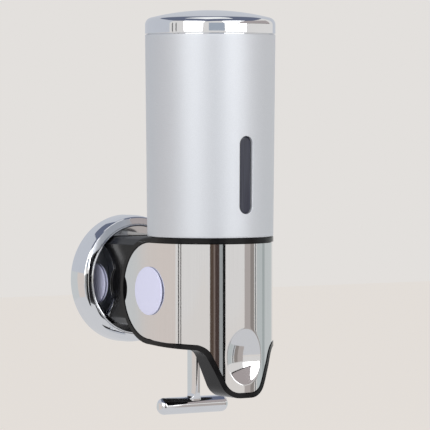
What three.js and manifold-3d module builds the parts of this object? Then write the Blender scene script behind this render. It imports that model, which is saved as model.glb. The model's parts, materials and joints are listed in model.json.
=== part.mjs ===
// Wall mounted soap dispenser: a chrome wall flange and a black arm carry a black lower housing
// wrapped in polished steel, with a silver cover tube, a lift-off chrome cap, a reservoir bottle,
// a plunger pump and a T-shaped pull handle on a crank.
//
// Units are millimetres and +Z is up. The wall is the plane Y = 0, the object stands out towards -Y
// and the origin is the centre of the flange. The dispenser's pieces are drawn in the body frame:
// its origin is where the upright axis of the cover tube meets the axis of the side discs.

import * as THREE from 'three';
import { mergeVertices } from 'three/addons/utils/BufferGeometryUtils.js';
import Module from 'manifold-3d';

const wasm = await Module();
wasm.setup();

// ---- driving dimensions ----

const GAP = 0.3; // clearance between pieces that touch
const AXIS_OUT = 87; // wall to the axis of the cover tube
const DROP = 2.7; // body frame origin below the flange centre

const FLANGE = { r: 36.1, depth: 14.4, opening: 29.9, wall: 2.3, webZ: 24.8 };
const PLATE = { r: 33.4, thick: 3, rimInner: 31, rimHeight: 9 };
const WALL_SCREW = { count: 3, pitch: 20, hole: 2.4, head: 4.6 };

const ARM = { half: 21, r: 29.3, rear: AXIS_OUT - PLATE.thick - GAP, bottom: -22, wall: 2.8 };
const ARM_TOP = { front: 28.8, frontY: 34, rear: 27, rearY: 73 };
const CHEEK = { y: 88.5, z: 0.5, r: 25.8, thick: 0.8, notchY: 56.3, notchR: 11.5 };
const ARM_DISC = { y: 83.8, r: 11.5, thick: 1 };

const WRAP = { r: 34.2, sheet: 0.8, half: 26.3, rearY: 8, frontBottom: -28.4 };
const WRAP_NOTCH = { y: 42.6, r: 11.5 };
const RIM = { r: 34.6, width: 2.8 };
const TUB = { r: WRAP.r - WRAP.sheet - GAP, wall: 2, inset: 2.2 };
const LOBE = { r: 8.5, cx: 3.6, cz: -45.7, slant: 24, fillet: 10, root: -27.6, rearY: -17, wall: 2 };
const DENT = { r: 30.5, depth: 3.9, z: -34.7 };
const SIDE_DISC = { y: 8.5, r: 13.2, thick: 1 };

const TRAY = { low: 26.6, high: 29.2, r: 34.2, hole: 22, ringTop: 36, ringR: 32.6, ringInner: 31.2 };
const TRAY_SCREWS = [[-21.6, -18.1], [21.6, -18.1], [-26.6, 9.4], [26.6, 9.4]];

const TUBE = { low: 29.5, high: 139.4, rLow: 34.5, rHigh: 35.6, wall: 1.6 };
const SLOT = { width: 8.3, height: 42, z: 63.4 };
const CAP = { low: 139.7, skirt: 145.4, top: 152.8, r: 35.6, wall: 2, plugR: 33.4, plugLow: 133.4 };
const BOTTLE = { r: 30.8, wall: 1.2, top: 132.8, shoulder: 33, funnel: 24, neckR: 7, low: 17 };

const BARREL = { r: 10, bore: 7, low: 1, web: 12.5, webTop: 15, socket: 8.2, top: 22, port: 9.5 };
const PLUNGER = { r: 6.7, low: 1.5, top: 5.2, shaft: 3, footR: 6.4, foot: -12, footTop: -10 };
const SPRING = { r: 5, wire: 0.45, turns: 5, low: -9.5, high: 0.5 };
const OUTLET = { y: -23.6, r: 3.1, bore: 2.1, low: -49.5 };

const PIVOT = { y: 20, z: -12, r: 2, hub: 5 };
const CRANK = { half: 5, nose: 2.5, noseZ: -14.8, armHalf: 3.5, socketLow: -21.3 };
const LUG = { inner: 5.6, outer: 8.6 };
const BAR = { y: 17.7, z: -64.5, r: 4.65, half: 22.2 };
const BLADE = { y: 16.35, half: 1.7, depth: 9.1, top: -15.8, screwZ: -19.2 };

const ROUND = 40; // sides of a large round piece
const SMALL = 16; // sides of a small round piece

// ---- finishes ----

function finish(color, roughness, metalness) {
  return new THREE.MeshStandardMaterial({ color, roughness, metalness });
}

const chrome = finish(0xe4e6ea, 0.06, 1);
const polishedSteel = finish(0xd6d4d0, 0.05, 1);
const silverPaint = finish(0xcfd2d8, 0.38, 0.6);
const blackAbs = finish(0x17181a, 0.28, 0);
const smokedPc = finish(0x2b2d36, 0.1, 0);
const lavenderVinyl = finish(0xd4d6ec, 0.5, 0);
const zinc = finish(0x9a9da1, 0.45, 0.9);
const screwSteel = finish(0xb0b2b5, 0.3, 1);
const milkyPe = finish(0xe6e9ea, 0.45, 0);
const whiteAcetal = finish(0xeceae4, 0.4, 0);
const silicone = finish(0xd9dcd8, 0.6, 0);
const blackRubber = finish(0x202022, 0.8, 0);

// ---- solids ----

// A closed manifold solid from any closed geometry, whichever way its faces were wound.
function solid(geometry) {
  const bare = geometry.clone();
  bare.deleteAttribute('normal');
  bare.deleteAttribute('uv');
  const merged = mergeVertices(bare, 1e-4);
  const points = merged.getAttribute('position').array;
  const corner = (i) => new THREE.Vector3().fromArray(points, 3 * i);
  const triangles = [];
  let volume = 0;
  for (let i = 0; i < merged.index.count; i += 3) {
    const [a, b, c] = merged.index.array.slice(i, i + 3);
    if (a === b || b === c || c === a) continue;
    triangles.push([a, b, c]);
    volume += corner(a).dot(corner(b).cross(corner(c)));
  }
  if (volume < 0) triangles.forEach((t) => t.reverse());
  return new wasm.Manifold(new wasm.Mesh({
    numProp: 3,
    vertProperties: Float32Array.from(points),
    triVerts: Uint32Array.from(triangles.flat()),
  }));
}

function arc(cx, cy, r, from, to, steps) {
  return Array.from({ length: steps + 1 }, (_, i) => {
    const a = THREE.MathUtils.degToRad(from + ((to - from) * i) / steps);
    return [cx + r * Math.cos(a), cy + r * Math.sin(a)];
  });
}

function extruded(outline, length) {
  const shape = new THREE.Shape(outline.map(([u, v]) => new THREE.Vector2(u, v)));
  return new THREE.ExtrudeGeometry(shape, { depth: length, bevelEnabled: false, steps: 1 });
}

// Prisms: an outline in the plane across the named axis, carried from low to high along it.
function prismX(outline, low, high) {
  const geometry = extruded(outline, high - low);
  const axes = [new THREE.Vector3(0, 1, 0), new THREE.Vector3(0, 0, 1), new THREE.Vector3(1, 0, 0)];
  geometry.applyMatrix4(new THREE.Matrix4().makeBasis(...axes)).translate(low, 0, 0);
  return solid(geometry);
}

function prismY(outline, low, high) {
  const geometry = extruded(outline, high - low);
  return solid(geometry.rotateX(Math.PI / 2).translate(0, high, 0));
}

function prismZ(outline, low, high) {
  return solid(extruded(outline, high - low).translate(0, 0, low));
}

function box(x, y, z) {
  const size = [x, y, z].map(([low, high]) => high - low);
  const middle = [x, y, z].map(([low, high]) => (low + high) / 2);
  return solid(new THREE.BoxGeometry(...size).translate(...middle));
}

function cylinder(axis, r, low, high, [a, b], sides = SMALL) {
  const geometry = new THREE.CylinderGeometry(r, r, high - low, sides);
  geometry.translate(0, (low + high) / 2, 0);
  if (axis === 'x') return solid(geometry.rotateZ(-Math.PI / 2).translate(0, a, b));
  if (axis === 'y') return solid(geometry.translate(a, 0, b));
  return solid(geometry.rotateX(Math.PI / 2).translate(a, b, 0));
}

// A profile of [radius, height] points turned about Z.
function turned(profile, sides = ROUND) {
  const points = profile.map(([r, h]) => new THREE.Vector2(r, h));
  return solid(new THREE.LatheGeometry(points, sides).rotateX(Math.PI / 2));
}

// The same, turned about the Y axis, with heights measured out from the wall towards -Y.
function turnedFromWall(profile, sides = ROUND) {
  const points = profile.map(([r, h]) => new THREE.Vector2(r, -h));
  return solid(new THREE.LatheGeometry(points, sides));
}

function ringProfile(inner, outer, low, high) {
  return [[inner, low], [outer, low], [outer, high], [inner, high], [inner, low]];
}

function joined(...parts) {
  return parts.reduce((all, part) => all.add(part));
}

function cut(part, ...tools) {
  return tools.reduce((left, tool) => left.subtract(tool), part);
}

// A pan-head screw along one axis: the head ends at `seat`, and the shank runs on to `tip`.
function screw(axis, centre, seat, tip, { head = 3, shank = 1.4, headHeight = 1.8 } = {}) {
  const way = Math.sign(tip - seat);
  const span = (a, b) => [Math.min(a, b), Math.max(a, b)];
  const [headLow, headHigh] = span(seat - way * headHeight, seat);
  const [shankLow, shankHigh] = span(seat - way * 0.5, tip);
  return joined(
    cylinder(axis, head, headLow, headHigh, centre, 16),
    cylinder(axis, shank, shankLow, shankHigh, centre, 12),
  );
}

// ---- scene graph ----

const group = new THREE.Group();
const body = new THREE.Group();
body.position.set(0, -AXIS_OUT, -DROP);
group.add(body);

function piece(name, part, material, parent = body) {
  const { vertProperties, triVerts } = part.getMesh();
  const geometry = new THREE.BufferGeometry();
  geometry.setAttribute('position', new THREE.BufferAttribute(vertProperties, 3));
  geometry.setIndex(new THREE.BufferAttribute(triVerts, 1));
  geometry.computeVertexNormals();
  const mesh = new THREE.Mesh(geometry, material);
  mesh.name = name;
  parent.add(mesh);
}

const SIDES = [['left', -1], ['right', 1]];

// The lower of two bounds first, for a span given outwards from the middle on one side.
function sideSpan(side, inner, outer) {
  return side < 0 ? [-outer, -inner] : [inner, outer];
}

// ---- outlines of the lower body ----

// Plan of the lower body: half round in front, straight sides running back.
function planPrism(r, low, high) {
  return prismZ([...arc(0, 0, r, 180, 360, 28), [r, 45], [-r, 45]], low, high);
}

// Side view of the lower body: flat top, half-round back and a bottom that falls towards the front.
function sidePrism(offset) {
  const r = WRAP.half + offset;
  const fall = (WRAP.frontBottom + WRAP.half) / (WRAP.rearY + 30);
  const bottom = -r + fall * (WRAP.rearY + 45);
  return prismX([[-45, r], ...arc(WRAP.rearY, 0, r, 90, -90, 28), [-45, bottom]], -40, 40);
}

// Front view of the spout lobe: a round foot, slanting flanks and hollow fillets up to the bottom edge.
function lobePrism(offset, low, high) {
  const { r, cx, cz, slant, fillet, root } = LOBE;
  const turn = THREE.MathUtils.degToRad(slant);
  const flank = [cx + r * Math.cos(turn), cz - r * Math.sin(turn)];
  const filletZ = root - fillet;
  const flankX = flank[0] + (filletZ - flank[1]) * Math.tan(turn);
  const filletX = flankX + fillet / Math.cos(turn);
  const right = [
    ...arc(cx, cz, r + offset, -90, -slant, 8),
    ...arc(filletX, filletZ, fillet - offset, 180 - slant, 90, 6),
    [filletX, -18],
  ];
  const left = right.map(([x, z]) => [-x, z]).reverse();
  return prismY([...left, ...right], low, high);
}

// Everything inside the outline of the wrap, grown by an offset.
function lowerRegion(offset, lobeRear) {
  return joined(sidePrism(offset), lobePrism(offset, -45, lobeRear));
}

function dentBall(extra) {
  const y = -(WRAP.r - DENT.depth + DENT.r);
  return solid(new THREE.SphereGeometry(DENT.r + extra, 48, 30).translate(0, y, DENT.z));
}

// ---- wall flange, wall plate and arm ----

// The ring, and the web that closes its opening above the arm's flat top.
function wallFlange() {
  const { r, depth, opening, wall, webZ } = FLANGE;
  const profile = [
    [r, 0], [r - 0.2, 7], [r - 0.6, 11], [r - 1.1, 12.3], [r - 1.9, 12.9], [31.1, depth - 0.2],
    [30.8, depth - 0.6], [30.5, depth], [opening, depth - 0.3], [opening, depth - 3],
    [r - wall, depth - 3.6], [r - wall, 0], [r, 0],
  ];
  const web = cylinder('y', opening + 0.5, 2.6 - depth, 1 - depth, [0, 0], ROUND)
    .intersect(box([-40, 40], [-20, 0], [webZ, 40]));
  return cut(turnedFromWall(profile).add(web), cylinder('z', 2.3, -40, -30, [0, -6]));
}

function wallPlate() {
  const { r, thick, rimInner, rimHeight } = PLATE;
  const profile = [[0, 0], [r, 0], [r, rimHeight], [rimInner, rimHeight], [rimInner, thick], [0, thick]];
  const holes = [cylinder('z', 2.3, -40, -28, [0, -6])];
  for (let i = 0; i < WALL_SCREW.count; i++) {
    const a = Math.PI / 2 + (2 * Math.PI * i) / WALL_SCREW.count;
    const centre = [WALL_SCREW.pitch * Math.cos(a), WALL_SCREW.pitch * Math.sin(a)];
    holes.push(cylinder('y', WALL_SCREW.hole, -5, 1, centre));
    holes.push(cylinder('y', WALL_SCREW.head, -5, -1.6, centre));
  }
  for (const [, side] of SIDES) holes.push(cylinder('y', 1.7, -5, 1, [side * 10, 0]));
  return cut(turnedFromWall(profile), ...holes);
}

piece('wall_flange', wallFlange(), chrome, group);
piece('wall_plate', wallPlate(), zinc, group);
piece('flange_grub_screw', cylinder('z', 2, -35.6, -31.3, [0, -6], 12), screwSteel, group);

// The half disc of a polished side plate, and the recess that it lies in.
function cheekOutline(r) {
  return arc(CHEEK.y, CHEEK.z, r, 90, 270, 28);
}

function armFlangeRound(r) {
  return cylinder('y', r, 20, AXIS_OUT, [0, DROP], ROUND);
}

function cheekNotch(low, high) {
  return cylinder('x', CHEEK.notchR, low, high, [CHEEK.notchY, CHEEK.z], ROUND);
}

function arm() {
  const { half, rear, bottom, wall } = ARM;
  const { front: high, frontY, rear: low, rearY } = ARM_TOP;
  const outline = [[12, bottom], [rear, bottom], [rear, low], [rearY, low], [frontY, high], [12, high]];
  const outside = prismX(outline, -half, half).intersect(armFlangeRound(ARM.r));
  const hollow = box([wall - half, half - wall], [25, rear - 3], [bottom + wall, ARM_TOP.rear - wall])
    .intersect(armFlangeRound(ARM.r - wall));
  const rib = joined(
    box([-1.25, 1.25], [30, 60], [bottom + 1, ARM_TOP.rear - 1]),
    ...[9, -9].map((z) => cylinder('y', 4, 30, 52, [0, z])),
  ).intersect(outside);
  let part = cut(outside, hollow).add(rib);
  const bodyRound = cylinder('x', WRAP.half + RIM.width + GAP, -40, 40, [WRAP.rearY, 0], 56);
  const trayRound = cylinder('z', RIM.r + GAP, 20, 40, [0, 0], ROUND);
  const pilots = [9, -9].map((z) => cylinder('y', 1.6, 25, 50, [0, z], 12));
  const plateScrews = SIDES.map(([, side]) => cylinder('y', 1.7, 78, 95, [side * 10, DROP]));
  part = cut(part, bodyRound, trayRound.intersect(box([-40, 40], [-40, 40], [26.3, 40])), ...pilots,
    ...plateScrews);
  for (const [, side] of SIDES) {
    const [low, high] = sideSpan(side, half - 0.4, half + 2);
    const recess = prismX(cheekOutline(CHEEK.r + GAP), low, high);
    part = cut(part, cut(recess, cheekNotch(low - 1, high + 1)));
  }
  return part;
}

piece('arm', arm(), blackAbs);
for (const [label, side] of SIDES) {
  piece(`arm_screw_${label}`, screw('y', [side * 10, DROP], ARM.rear - 3 - GAP, AXIS_OUT - 0.4), screwSteel);
  const [low, high] = sideSpan(side, ARM.half - 0.1, ARM.half - 0.1 + CHEEK.thick);
  const plate = cut(
    prismX(cheekOutline(CHEEK.r), low, high).intersect(armFlangeRound(ARM.r)),
    box([-40, 40], [ARM.rear, 130], [-40, 40]),
    cylinder('x', CHEEK.notchR + GAP, low - 1, high + 1, [CHEEK.notchY, CHEEK.z], ROUND),
  );
  piece(`arm_side_plate_${label}`, plate, polishedSteel);
  const [discLow, discHigh] = sideSpan(side, ARM.half + 1, ARM.half + 1 + ARM_DISC.thick);
  const disc = cut(
    cylinder('x', ARM_DISC.r, discLow, discHigh, [ARM_DISC.y, CHEEK.z], 40),
    box([-40, 40], [ARM.rear, 130], [-40, 40]),
  );
  piece(`arm_side_disc_${label}`, disc, lavenderVinyl);
}

// ---- lower housing, steel wrap and side discs ----

function steelWrap() {
  const outside = cut(planPrism(WRAP.r, -60, WRAP.half), dentBall(0));
  const inside = cut(planPrism(WRAP.r - WRAP.sheet, -61, WRAP.half + 1), dentBall(WRAP.sheet));
  const notch = cylinder('x', WRAP_NOTCH.r, -40, 40, [WRAP_NOTCH.y, 0], ROUND);
  return cut(outside, inside, notch).intersect(lowerRegion(0, -10));
}

// Two ears that carry the pivot pin, standing on the floor of the tub.
function lugs() {
  const { y, z } = PIVOT;
  const right = [[y + 5, -30], [y + 5, z + 3], [y + 3, z + 5]];
  const outline = [...right, ...right.map(([u, v]) => [2 * y - u, v]).reverse()];
  const pair = SIDES.map(([, side]) => prismX(outline, ...sideSpan(side, LUG.inner, LUG.outer)));
  return joined(...pair).intersect(sidePrism(1.5));
}

function housing() {
  const { wall, inset, r } = TUB;
  const outside = planPrism(RIM.r, -60, WRAP.half).intersect(lowerRegion(RIM.width, LOBE.rearY));
  const underWrap = cut(planPrism(RIM.r + 1, -61, WRAP.half + 1), planPrism(r, -62, WRAP.half + 2))
    .intersect(lowerRegion(GAP, -10));
  const inner = RIM.width - inset;
  const tub = planPrism(r - wall, -61, WRAP.half + 5)
    .intersect(joined(sidePrism(inner), box([-40, 40], [-45, 16], [10, WRAP.half + 5])));
  const lobeInside = lobePrism(inner, -45, LOBE.rearY - LOBE.wall).intersect(planPrism(r - wall, -61, 0));
  const hollow = cut(joined(tub, lobeInside), dentBall(WRAP.sheet + GAP + wall));
  const bosses = TRAY_SCREWS.map(([x, y]) => joined(
    cylinder('z', 3.2, 8, WRAP.half, [x, y]),
    box(sideSpan(Math.sign(x), Math.abs(x), 35), [y - 1.5, y + 1.5], [8, WRAP.half]),
  ));
  const bossRoom = planPrism(r - 0.5, -60, WRAP.half).intersect(sidePrism(inner + 0.5));
  const filled = joined(cut(outside, underWrap, hollow, dentBall(WRAP.sheet + GAP)), lugs(),
    joined(...bosses).intersect(bossRoom));
  return cut(
    filled,
    ...TRAY_SCREWS.map((centre) => cylinder('z', 1.6, 10, 40, centre, 12)),
    ...[9, -9].flatMap((z) => [cylinder('y', 1.7, 25, 45, [0, z], 12), cylinder('y', 3.3, 25, 33, [0, z])]),
    box([-2.6, 2.6], [6, 22.4], [-40, -18]),
    cylinder('z', 4.2, -60, -50, [0, OUTLET.y]),
    cylinder('x', PIVOT.r + 0.1, -12, 12, [PIVOT.y, PIVOT.z], 24),
  );
}

piece('steel_wrap', steelWrap(), polishedSteel);
piece('housing', housing(), blackAbs);
for (const [label, side] of SIDES) {
  const [low, high] = sideSpan(side, WRAP.r + GAP, WRAP.r + GAP + SIDE_DISC.thick);
  piece(`side_disc_${label}`, cylinder('x', SIDE_DISC.r, low, high, [SIDE_DISC.y, 0], 40), lavenderVinyl);
}
for (const [label, z] of [['upper', 9], ['lower', -9]]) {
  piece(`housing_screw_${label}`, screw('y', [0, z], 32.7, 46), screwSteel);
}

// ---- tray, cover tube, window and cap ----

function tray() {
  const { low, high, r, hole, ringTop, ringR, ringInner } = TRAY;
  const front = planPrism(RIM.r, low, high).intersect(sidePrism(RIM.width + 0.1));
  const plate = joined(front, cylinder('z', r, low, high, [0, 0], ROUND));
  const ring = turned(ringProfile(ringInner, ringR, high - 1, ringTop));
  const screwHoles = TRAY_SCREWS.map((centre) => cylinder('z', 1.7, 20, 40, centre, 12));
  const opening = cylinder('z', hole, 20, 40, [0, 0], ROUND);
  return cut(joined(plate, ring), opening, ...screwHoles, ...tubeScrewHoles());
}

const TUBE_SCREW = { angle: 28, z: 32.8 };
const TRAY_HEAD = { head: 2.5, headHeight: 1 };

// The two rear screws that hold the cover tube point at its axis.
function radial(part, angle) {
  return part.rotate([0, 0, angle]);
}

function tubeScrewHoles() {
  const hole = cylinder('y', 1.1, 28, 38, [0, TUBE_SCREW.z], 12);
  return SIDES.map(([, side]) => radial(hole, side * TUBE_SCREW.angle));
}

function coverTube() {
  const { low, high, rLow, rHigh, wall } = TUBE;
  const profile = [[rLow - wall, low], [rLow, low], [rHigh, high], [rHigh - wall, high], [rLow - wall, low]];
  return cut(turned(profile), slotPrism(SLOT.width, SLOT.height, -40, -25), ...tubeScrewHoles());
}

function slotPrism(width, height, low, high) {
  const r = width / 2;
  const reach = height / 2 - r;
  const outline = [...arc(0, SLOT.z - reach, r, 180, 360, 12), ...arc(0, SLOT.z + reach, r, 0, 180, 12)];
  return prismY(outline, low, high);
}

function windowLens() {
  const inner = TUBE.rLow - TUBE.wall - 2;
  const band = (r, thick) => turned(ringProfile(r - thick, r, 30, 110), 72);
  const back = band(inner + 1.5, 1.3).intersect(slotPrism(14, 50, -40, -20));
  const nose = band(inner + 2.6, 2).intersect(slotPrism(SLOT.width - 0.6, SLOT.height - 0.6, -40, -20));
  return joined(back, nose);
}

function topCap() {
  const { low, skirt, top, r, wall, plugR, plugLow } = CAP;
  const dome = [[r, low], [r, skirt], [r - 0.4, skirt + 1.6], [r - 1.6, skirt + 3], [r - 4.2, top - 3.6],
    [r - 10, top - 2.2], [r - 20, top - 0.7], [0, top]];
  const under = [[0, top - wall], [r - 12, top - wall - 2], [plugR - 1.6, skirt], [plugR - 1.6, plugLow]];
  const plug = [[plugR, plugLow], [plugR, plugLow + 1.4], [plugR - 0.9, plugLow + 1.4],
    [plugR - 0.9, plugLow + 3.2], [plugR, plugLow + 3.2], [plugR, low]];
  return turned([...under, ...plug, ...dome]);
}

piece('tray', tray(), blackAbs);
TRAY_SCREWS.forEach((centre, i) => {
  piece(`tray_screw_${i + 1}`, screw('z', centre, TRAY.high + GAP, 14, TRAY_HEAD), screwSteel);
});
piece('cover_tube', coverTube(), silverPaint);
for (const [label, side] of SIDES) {
  const part = screw('y', [0, TUBE_SCREW.z], 34.9, 31.4, { head: 1.7, shank: 0.9, headHeight: 0.9 });
  piece(`tube_screw_${label}`, radial(part, side * TUBE_SCREW.angle), screwSteel);
}
piece('window_lens', windowLens(), smokedPc);
piece('top_cap', topCap(), chrome);
const { plugR, plugLow } = CAP;
piece('cap_seal', turned(ringProfile(plugR - 0.6, plugR + 0.25, plugLow + 1.7, plugLow + 2.9)), blackRubber);

// ---- reservoir and pump ----

function bottle() {
  const { r, wall, top, shoulder, funnel, neckR, low } = BOTTLE;
  return turned([
    [neckR - 1.5, low], [neckR, low], [neckR, funnel], [r, shoulder], [r, top], [r - wall, top],
    [r - wall, shoulder + 0.6], [neckR - 1.5, funnel + 1], [neckR - 1.5, low],
  ]);
}

function pumpBarrel() {
  const { r, bore, low, web, webTop, socket, top, port } = BARREL;
  const shell = turned([[bore, low], [r, low], [r, top], [socket, top], [socket, webTop], [0, webTop],
    [0, web], [bore, web], [bore, low]], 32);
  const spout = cylinder('y', 1.8, -15, -bore - 1, [0, port], 16);
  const inlets = [0, 1, 2, 3].map((i) => {
    const a = Math.PI / 4 + (Math.PI / 2) * i;
    return cylinder('z', 1.2, 10, 18, [3.5 * Math.cos(a), 3.5 * Math.sin(a)], 12);
  });
  const stem = cylinder('z', 1.2, 10, 18, [0, 0], 12);
  return cut(joined(shell, spout), cylinder('y', 1, -20, -3, [0, port], 12), stem, ...inlets);
}

function inletValve() {
  const skirt = [[0, 11.4], [5.2, 11.7], [5.2, 12.2], [1, 12.2]];
  return turned([...skirt, [1, 15.3], [1.8, 15.4], [1.4, 16.3], [0, 16.4]], 24);
}

function plunger() {
  const { r, low, top, shaft, footR, foot, footTop } = PLUNGER;
  return turned([[0, foot], [footR, foot], [footR, footTop], [shaft, footTop], [shaft, low], [r, low],
    [r, low + 1.1], [r - 1.5, low + 1.1], [r - 1.5, top - 1], [r, top - 1], [r, top], [0, top]], 32);
}

// A round wire wound into a helix, standing between the barrel and the plunger's foot.
function plungerSpring() {
  const { r, wire, turns, low, high } = SPRING;
  class Helix extends THREE.Curve {
    getPoint(t) {
      const a = 2 * Math.PI * turns * t;
      return new THREE.Vector3(r * Math.cos(a), r * Math.sin(a), low + wire + (high - low - 2 * wire) * t);
    }
  }
  const section = new THREE.Shape(arc(0, 0, wire, 0, 288, 4).map(([u, v]) => new THREE.Vector2(u, v)));
  return solid(new THREE.ExtrudeGeometry(section, { steps: 12 * turns, extrudePath: new Helix() }));
}

function outletTube() {
  const { y, r, bore, low } = OUTLET;
  const section = new THREE.Shape(arc(0, 0, r, 0, 324, 9).map(([u, v]) => new THREE.Vector2(u, v)));
  section.holes.push(new THREE.Path(arc(0, 0, bore, 0, 324, 9).map(([u, v]) => new THREE.Vector2(u, v))));
  const bend = BARREL.port;
  const path = new THREE.CurvePath();
  const at = (py, pz) => new THREE.Vector3(0, py, pz);
  path.add(new THREE.LineCurve3(at(-10.5, bend), at(y + 8, bend)));
  path.add(new THREE.QuadraticBezierCurve3(at(y + 8, bend), at(y, bend), at(y, bend - 8)));
  path.add(new THREE.LineCurve3(at(y, bend - 8), at(y, low)));
  return solid(new THREE.ExtrudeGeometry(section, { steps: 20, extrudePath: path }));
}

function spoutNozzle() {
  const profile = [[1.1, -45.5], [1.8, -45.5], [1.8, -50], [3.2, -50.5], [3.9, -53], [3.9, -56.2], [3.2, -57],
    [1.1, -57], [1.1, -45.5]];
  return turned(profile, 24).translate([0, OUTLET.y, 0]);
}

piece('bottle', bottle(), milkyPe);
piece('bottle_seal', turned(ringProfile(7.2, 8, 16.5, 19.5), 32), blackRubber);
piece('pump_barrel', pumpBarrel(), whiteAcetal);
piece('inlet_valve', inletValve(), silicone);
piece('plunger', plunger(), whiteAcetal);
piece('plunger_seal', turned(ringProfile(5.4, 6.85, 2.8, 4), 32), blackRubber);
piece('plunger_spring', plungerSpring(), screwSteel);
piece('outlet_tube', outletTube(), silicone);
piece('spout_nozzle', spoutNozzle(), silicone);

// ---- crank, handle and pivot ----

function bladeBox(grow, low, high) {
  const half = BLADE.half + grow;
  const reach = BLADE.depth / 2 + grow;
  return box([-half, half], [BLADE.y - reach, BLADE.y + reach], [low, high]);
}

const screwAcross = [BLADE.y, BLADE.screwZ];

function leverCrank() {
  const { half, nose, noseZ, armHalf, socketLow } = CRANK;
  const { y, z, r, hub } = PIVOT;
  const armOutline = [[0, noseZ - nose], [14, -17.5], [y, -17], [y, z + 3], [16, z + 2.4], [9, noseZ + 1.9],
    [0, noseZ + 1.9]];
  const part = joined(
    cylinder('x', hub, -half, half, [y, z], 32),
    cylinder('x', nose, -armHalf, armHalf, [0, noseZ], 20),
    prismX(armOutline, -armHalf, armHalf),
    box([-4, 4], [10.6, 22.1], [socketLow, z - 2]),
  );
  return cut(part, cylinder('x', r + 0.1, -10, 10, [y, z], 24), bladeBox(GAP, -40, BLADE.top + GAP),
    cylinder('x', 1.4, -10, 10, screwAcross, 12));
}

function tHandle() {
  const { y, z, r, half } = BAR;
  const nose = [[r, half - 3.4], [r - 0.4, half - 1.8], [r - 1.5, half - 0.6], [r - 3.1, half], [0, half]];
  const bar = turned([...nose.map(([u, v]) => [u, -v]).reverse(), ...nose], 28)
    .rotate([0, 90, 0]).translate([0, y, z]);
  const flare = [[-BLADE.half, z + 7.5], [-3.6, z + 3.9], [-3.6, z + 2]];
  const root = prismY([...flare, ...flare.map(([u, v]) => [-u, v]).reverse()], BLADE.y - 4, BLADE.y + 4);
  return cut(joined(bar, root, bladeBox(0, z, BLADE.top)), cylinder('x', 1.4, -10, 10, screwAcross, 12));
}

piece('lever_crank', leverCrank(), blackAbs);
piece('t_handle', tHandle(), chrome);
const handleHead = { head: 2.3, shank: 1.1, headHeight: 1.2 };
piece('handle_screw', screw('x', screwAcross, -4.2, 4, handleHead), screwSteel);
piece('pivot_pin', cylinder('x', PIVOT.r, -11, 11, [PIVOT.y, PIVOT.z], 24), screwSteel);
for (const [label, side] of SIDES) {
  const [low, high] = sideSpan(side, LUG.outer + GAP, LUG.outer + GAP + 1);
  const clip = cut(
    cylinder('x', 3.6, low, high, [PIVOT.y, PIVOT.z], 24),
    cylinder('x', PIVOT.r + 0.1, low - 1, high + 1, [PIVOT.y, PIVOT.z], 24),
    box([low - 1, high + 1], [PIVOT.y - 1.5, PIVOT.y + 1.5], [PIVOT.z - 6, PIVOT.z]),
  );
  piece(`pin_clip_${label}`, clip, screwSteel);
}

export default group;
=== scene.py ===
import json
import math

import bmesh
import bpy
import numpy as np
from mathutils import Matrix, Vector

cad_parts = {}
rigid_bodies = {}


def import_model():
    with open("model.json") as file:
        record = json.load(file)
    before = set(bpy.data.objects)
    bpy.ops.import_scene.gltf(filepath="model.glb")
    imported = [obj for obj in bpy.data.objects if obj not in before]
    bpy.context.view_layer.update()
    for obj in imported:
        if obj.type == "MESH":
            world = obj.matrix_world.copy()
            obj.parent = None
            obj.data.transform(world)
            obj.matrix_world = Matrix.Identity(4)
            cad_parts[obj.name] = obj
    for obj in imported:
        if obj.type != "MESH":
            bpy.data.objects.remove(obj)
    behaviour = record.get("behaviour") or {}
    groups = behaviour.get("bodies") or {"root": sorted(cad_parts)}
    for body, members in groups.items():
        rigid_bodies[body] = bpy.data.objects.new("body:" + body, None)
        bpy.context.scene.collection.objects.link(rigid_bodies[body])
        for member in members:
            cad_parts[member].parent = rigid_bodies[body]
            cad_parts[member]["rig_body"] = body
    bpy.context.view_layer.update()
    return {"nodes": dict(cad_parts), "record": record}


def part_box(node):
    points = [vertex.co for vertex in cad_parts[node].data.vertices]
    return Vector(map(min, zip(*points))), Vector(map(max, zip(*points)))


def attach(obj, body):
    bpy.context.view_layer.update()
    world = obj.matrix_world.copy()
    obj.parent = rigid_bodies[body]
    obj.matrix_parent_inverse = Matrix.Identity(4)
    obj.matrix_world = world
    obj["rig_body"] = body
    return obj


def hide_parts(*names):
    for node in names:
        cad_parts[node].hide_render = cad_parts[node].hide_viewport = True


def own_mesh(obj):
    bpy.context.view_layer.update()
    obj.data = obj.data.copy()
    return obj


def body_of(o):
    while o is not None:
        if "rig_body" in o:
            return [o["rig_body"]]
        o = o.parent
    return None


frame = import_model()

bl_info = {
    "name": "Wall mounted soap dispenser",
    "version": (1, 0, 0),
    "blender": (4, 5, 0),
    "location": "3D View > Sidebar > Dispenser",
    "description": "Surfaces, finishes and studio for a wall mounted pump dispenser",
    "category": "Object",
}

# ---- places read from the frame ----

MM = 0.001


def middle(node):
    low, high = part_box(node)
    return (low + high) / 2


TUBE_LOW, TUBE_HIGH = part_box("cover_tube")
CAP_LOW, CAP_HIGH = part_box("top_cap")
FLANGE_LOW, FLANGE_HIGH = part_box("wall_flange")
AXIS_Y = middle("cover_tube").y
DISC_Z = middle("side_disc_left").z

# The body frame starts where the tube's axis meets the discs' axis.
BODY_ORIGIN = np.array([0.0, AXIS_Y, DISC_Z])


def in_row(points):
    """Points in millimetres in the body frame, as metres in the row frame."""
    return np.asarray(points, float) * MM + BODY_ORIGIN


def body_height(z):
    """A height of the row frame in metres, as millimetres in the body frame."""
    return (z - DISC_Z) / MM


# ---- colours ----


def linear(hex_code):
    """The linear colour of an sRGB hex value."""
    parts = [int(hex_code[i : i + 2], 16) / 255 for i in (1, 3, 5)]
    return [p / 12.92 if p <= 0.04045 else ((p + 0.055) / 1.055) ** 2.4 for p in parts]


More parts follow.
